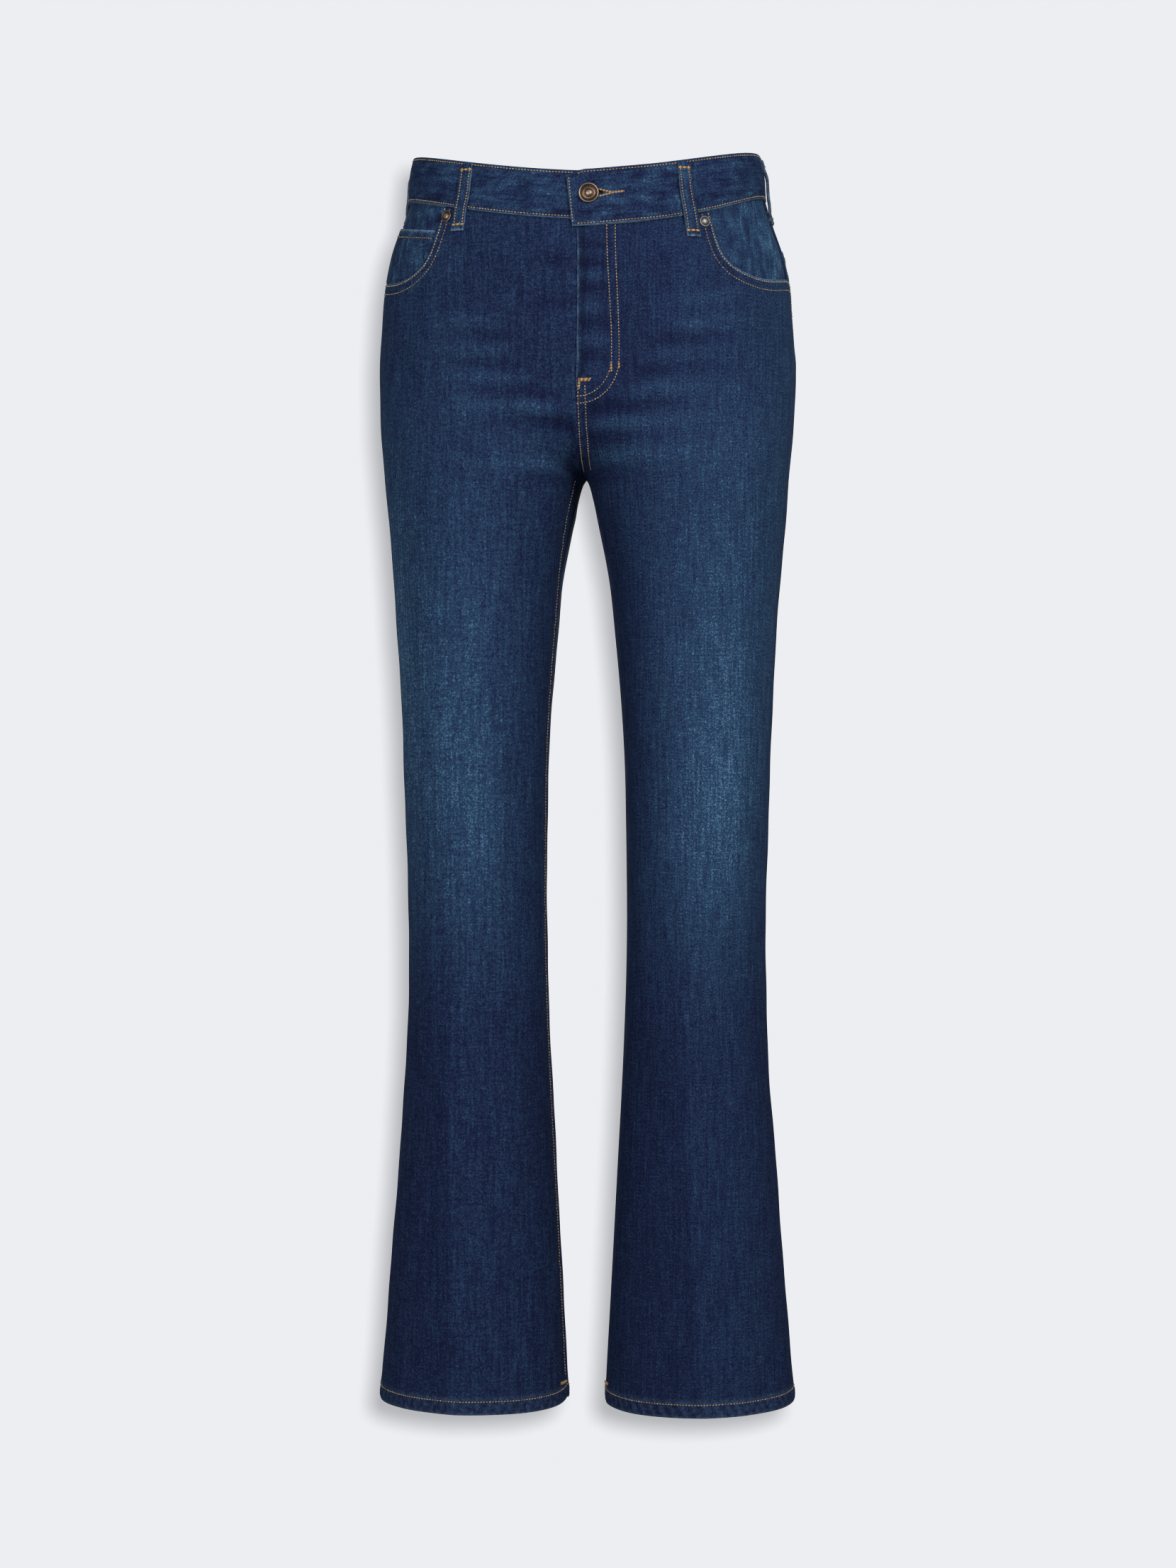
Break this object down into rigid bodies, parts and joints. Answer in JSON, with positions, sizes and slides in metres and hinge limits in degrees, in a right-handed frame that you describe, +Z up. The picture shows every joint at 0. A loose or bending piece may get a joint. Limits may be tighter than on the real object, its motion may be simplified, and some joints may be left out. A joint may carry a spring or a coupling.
{
  "type": "slim fit jeans with a bootcut leg",
  "caption": "Five-pocket denim jeans, slim to the knee and flared to the hem, filled out with no wearer and open at the waist and hems.",
  "frame": {"origin": "middle of the waistband ring, where the wearer holds the garment up", "axes": "+Z up, the front towards -Y, +X towards the wearer's left"},
  "size_m": [0.352, 0.246, 1.0585],
  "materials": {
    "denim": "dark indigo twill, faded down the thighs",
    "denim_worn": "indigo twill, worn lighter at its edges",
    "copper": "dark antique copper",
    "pewter": "dull antique pewter"
  },
  "bodies": {
    "root": {"front_left": "denim", "front_right": "denim", "back_left": "denim", "back_right": "denim", "yoke_left": "denim", "yoke_right": "denim", "waistband": "denim_worn", "pocket_facing_left": "denim_worn", "pocket_facing_right": "denim_worn", "coin_pocket": "denim_worn", "back_pocket_left": "denim", "back_pocket_right": "denim", "loop_front_left": "denim_worn", "loop_front_right": "denim_worn", "loop_side_left": "denim_worn", "loop_side_right": "denim_worn", "loop_back": "denim_worn", "button": "copper", "rivet_left": "pewter", "rivet_right": "copper"}
  },
  "joints": []
}
